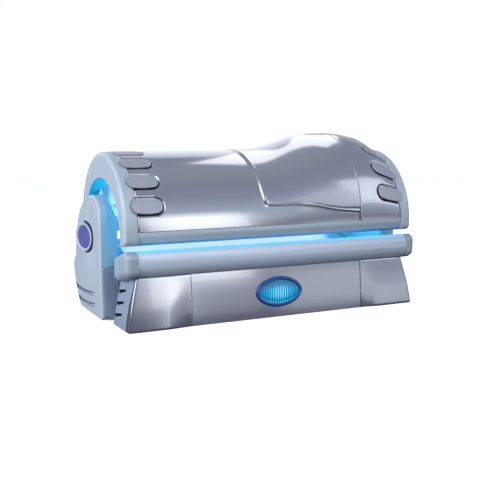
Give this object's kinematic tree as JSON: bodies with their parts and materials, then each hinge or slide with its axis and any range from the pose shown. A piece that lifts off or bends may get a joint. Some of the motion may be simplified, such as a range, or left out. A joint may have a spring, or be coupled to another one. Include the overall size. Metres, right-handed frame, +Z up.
{
  "type": "clamshell tanning bed",
  "caption": "Lie-down tanning bed: half-barrel canopy with a raised hump, hinged on two end towers over a curved lamp bench with a flared skirted base.",
  "frame": {"origin": "on the floor, under the middle of the bounding box", "axes": "+Z up, +X along the bed towards the end with the canopy hump, -Y the front where the user gets in"},
  "size_m": [2.312, 1, 1.213],
  "materials": {
    "silver_shell": "metallic silver paint with a mauve cast, glossy",
    "satin_grey": "satin light grey moulding",
    "pad_grey": "satin mid grey moulding",
    "frame_steel": "grey powder coat",
    "sheet_aluminium": "bright rolled sheet",
    "clear_acrylic": "polished clear sheet",
    "lamp_glass": "phosphor-coated tube glass",
    "black_plastic": "black moulding",
    "purple_cap": "satin purple moulding",
    "bezel_blue": "glossy translucent blue moulding",
    "lens_cyan": "fluted cyan lens, lit from behind"
  },
  "bodies": {
    "bed_base": {"base_beam_front": "frame_steel", "base_beam_rear": "frame_steel", "base_cross_left": "frame_steel", "base_cross_right": "frame_steel", "levelling_foot_front_left": "black_plastic", "levelling_foot_rear_left": "black_plastic", "levelling_foot_front_right": "black_plastic", "levelling_foot_rear_right": "black_plastic", "front_panel_centre": "silver_shell", "front_panel_left": "silver_shell", "front_panel_right": "silver_shell", "rear_panel": "satin_grey", "end_panel_left": "satin_grey", "end_panel_right": "satin_grey", "lens_bezel": "bezel_blue", "accent_lens": "lens_cyan", "mains_inlet": "black_plastic", "front_bumper": "satin_grey", "rear_bench_rail": "satin_grey", "bumper_cap_left": "satin_grey", "bumper_cap_right": "satin_grey", "bench_acrylic": "clear_acrylic", "bench_pan": "sheet_aluminium", "bench_lamp_bank": "lamp_glass", "ballast_tray": "frame_steel", "fan_housing": "black_plastic", "tower_side_cover_left": "satin_grey", "tower_hood_left": "satin_grey", "tower_foot_cover_left": "satin_grey", "tower_post_left": "frame_steel", "hinge_bush_left": "sheet_aluminium", "gas_spring_cylinder_left": "black_plastic", "hinge_cap_ring_left": "satin_grey", "hinge_cap_disc_left": "purple_cap", "tower_side_cover_right": "satin_grey", "tower_hood_right": "satin_grey", "tower_foot_cover_right": "satin_grey", "tower_post_right": "frame_steel", "hinge_bush_right": "sheet_aluminium", "gas_spring_cylinder_right": "black_plastic", "hinge_cap_ring_right": "satin_grey", "hinge_cap_disc_right": "purple_cap"},
    "canopy": {"canopy_end_ring_left": "satin_grey", "canopy_end_ring_right": "satin_grey", "canopy_arm_left": "frame_steel", "canopy_arm_right": "frame_steel", "canopy_trim_left": "pad_grey", "canopy_trim_right": "pad_grey", "canopy_shell_main": "silver_shell", "canopy_shell_right": "silver_shell", "canopy_front_rail": "satin_grey", "canopy_rear_rail": "satin_grey", "canopy_shield": "clear_acrylic", "canopy_reflector": "sheet_aluminium", "canopy_lamp_bank": "lamp_glass", "control_pod": "satin_grey"},
    "spring_rod_left": {"gas_spring_rod_left": "frame_steel"},
    "spring_rod_right": {"gas_spring_rod_right": "frame_steel"},
    "fan_wheel": {"fan_rotor": "black_plastic"},
    "button": {"start_button": "black_plastic"}
  },
  "joints": [
    {"name": "canopy_hinge", "type": "hinge", "parent": "bed_base", "child": "canopy", "pos_m": [0, 0.169, 0.529], "axis": [-1, 0, 0], "range_deg": [0, 40]},
    {"name": "spring_rod_left_slide", "type": "slide", "parent": "bed_base", "child": "spring_rod_left", "axis": [0, 0, 1], "range_m": [0, 0.0412]},
    {"name": "spring_rod_right_slide", "type": "slide", "parent": "bed_base", "child": "spring_rod_right", "axis": [0, 0, 1], "range_m": [0, 0.0412]},
    {"name": "fan_spin", "type": "hinge", "parent": "bed_base", "child": "fan_wheel", "pos_m": [-0.944, -0.2899, 0.1753], "axis": [1, 0, 0], "continuous": true},
    {"name": "start_button_press", "type": "slide", "parent": "canopy", "child": "button", "axis": [0, -1, 0], "range_m": [0, 0.004], "stiffness_N_per_m": 400}
  ],
  "couplings": [
    {"joint": "spring_rod_left_slide", "follows": "canopy_hinge", "m_per_rad": 0.0588},
    {"joint": "spring_rod_right_slide", "follows": "canopy_hinge", "m_per_rad": 0.0588}
  ]
}
